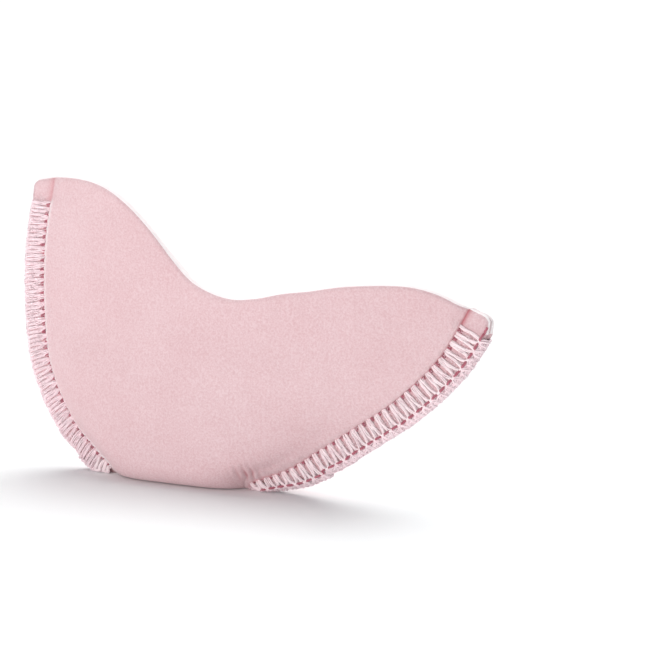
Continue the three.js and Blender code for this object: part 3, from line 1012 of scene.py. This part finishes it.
def foam_material(name, light, dark):
    """The laminate's cut edge, with the foam's cells."""
    n = Nodes(name)
    cells = n.add("ShaderNodeTexVoronoi", {"Scale": 3400, "Vector": n.place}).outputs["Distance"]
    n.bump(cells, distance=0.0002, strength=0.5)
    colour = n.mix(n.spread(n.noise(scale=900)), light, dark)
    roughness = n.remap(cells, low=0, high=0.6, to_low=0.95, to_high=0.8)
    return n.finish(colour, roughness, sheen=0.1)


def thread_material(name, light, dark):
    """Soft thread, with fine fibres and slower changes along it."""
    n = Nodes(name)
    fibres = n.noise(scale=5200, detail=3, rough=0.6)
    slow = n.spread(n.noise(scale=500), to_high=0.4)
    share = n.math("ADD", n.spread(fibres, to_high=0.6), slow)
    n.bump(fibres, distance=0.00008, strength=0.6)
    roughness = n.spread(fibres, to_low=0.6, to_high=0.85)
    return n.finish(n.mix(share, light, dark), roughness, sheen=0.45, sheen_roughness=0.4)


# The third colour of each knit is the painted shade of creases and bands, partly the squeezed
# knit's deeper colour
knit = knit_material("brushed_knit", tint(253, 224, 227), tint(237, 194, 198), tint(214, 112, 122))
lining = knit_material("inner_knit", tint(250, 228, 230), tint(234, 203, 206), tint(216, 140, 150))
foam = foam_material("cut_foam", (0.98, 0.9, 0.9, 1), (0.97, 0.85, 0.855, 1))
pale = thread_material("pale_thread", (0.96, 0.81, 0.84, 1), (0.95, 0.7, 0.745, 1))
# Deep thread: the needle thread's own colour, and partly painted shade where it shows as the
# chain's dashes and the dots between the loops
deep = thread_material("deep_thread", tint(214, 132, 146), tint(188, 100, 117))
# The pale thread painted lighter: a painted highlight on the right front looper's ribs; the first
# loops at the toe use it too
highlight_thread = thread_material("pale_thread_painted_highlight", (0.98, 0.87, 0.88, 1), (0.97, 0.74, 0.77, 1))

pouch = make_pouch([knit, lining, foam])
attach(pouch, "root")
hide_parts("pouch")
for side, name in ((LEFT, "left_overlock"), (RIGHT, "right_overlock")):
    threads = make_overlock(side, name + "_threads", [pale, deep, highlight_thread])
    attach(threads, "root")
    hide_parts(name)

# Camera, floor and light, in metres
CAMERA_PLACE = (0.28, -0.49333, 0.1301)
CAMERA_TARGET = (0.01126, 0.01215, 0.0343)
LENS, SENSOR = 150, 36
NEAREST, FARTHEST = 0.01, 100
FLOOR_HALF = 6.0
FLOOR_COLOURS = (0.93, 0.93, 0.93, 1), (0.95, 0.95, 0.95, 1)
FLOOR_ROUGHNESS = 0.9
# The studio is white where it is seen, and dimmer as a light, so that the shadow is soft but there
STUDIO_COLOUR = (0.89, 1.0, 1.03, 1)
STUDIO_LIGHT, STUDIO_SEEN = 0.45, 1.15


def look(obj, target):
    way = Vector(target) - obj.location
    obj.rotation_mode = "QUATERNION"
    obj.rotation_quaternion = way.to_track_quat("-Z", "Y")


def add_light(name, kind, place, target, energy, colour, **settings):
    data = bpy.data.lights.new(name, kind)
    data.energy = energy
    data.color = colour
    for key, value in settings.items():
        setattr(data, key, value)
    light = new_object(name, data)
    light.location = place
    look(light, target)


camera_data = bpy.data.cameras.new("camera")
camera_data.lens = LENS
camera_data.sensor_width = SENSOR
camera_data.clip_start = NEAREST
camera_data.clip_end = FARTHEST
camera = new_object("camera", camera_data)
camera.location = CAMERA_PLACE
look(camera, CAMERA_TARGET)
bpy.context.scene.camera = camera

floor_mesh = bpy.data.meshes.new("floor")
corners = [(x * FLOOR_HALF, y * FLOOR_HALF, 0) for x, y in ((-1, -1), (1, -1), (1, 1), (-1, 1))]
floor_mesh.from_pydata(corners, [], [(0, 1, 2, 3)])
floor = new_object("floor", floor_mesh)
floor_nodes = Nodes("floor_white")
floor_colour = floor_nodes.mix(floor_nodes.noise(scale=8), *FLOOR_COLOURS)
floor_mesh.materials.append(floor_nodes.finish(floor_colour, FLOOR_ROUGHNESS))

add_light(
    "left_fill", "AREA", place=(-0.24, -0.32, 0.02), target=(0, 0, 0.005),
    energy=0.33, colour=(1, 1, 1), shape="DISK", size=0.2,
)
add_light(
    "low_fill", "AREA", place=(-0.04, -0.38, 0.01), target=(0, 0, 0),
    energy=0.78, colour=(1, 0.965, 0.96), shape="DISK", size=0.16,
)
add_light(
    "sun", "SUN", place=(0, 0.5, 1), target=(0, 0, 0),
    energy=2.7, colour=(1, 0.98, 0.97), angle=math.radians(62),
)

world = bpy.data.worlds.new("studio")
world.use_nodes = True
nodes, links = world.node_tree.nodes, world.node_tree.links
backdrop = nodes["Background"]
backdrop.inputs["Color"].default_value = STUDIO_COLOUR
seen = nodes.new("ShaderNodeLightPath")
strength = nodes.new("ShaderNodeMapRange")
strength.inputs["To Min"].default_value = STUDIO_LIGHT
strength.inputs["To Max"].default_value = STUDIO_SEEN
links.new(seen.outputs["Is Camera Ray"], strength.inputs["Value"])
links.new(strength.outputs["Result"], backdrop.inputs["Strength"])
bpy.context.scene.world = world
bpy.context.scene.view_settings.view_transform = "Standard"
bpy.context.scene.view_settings.look = "None"
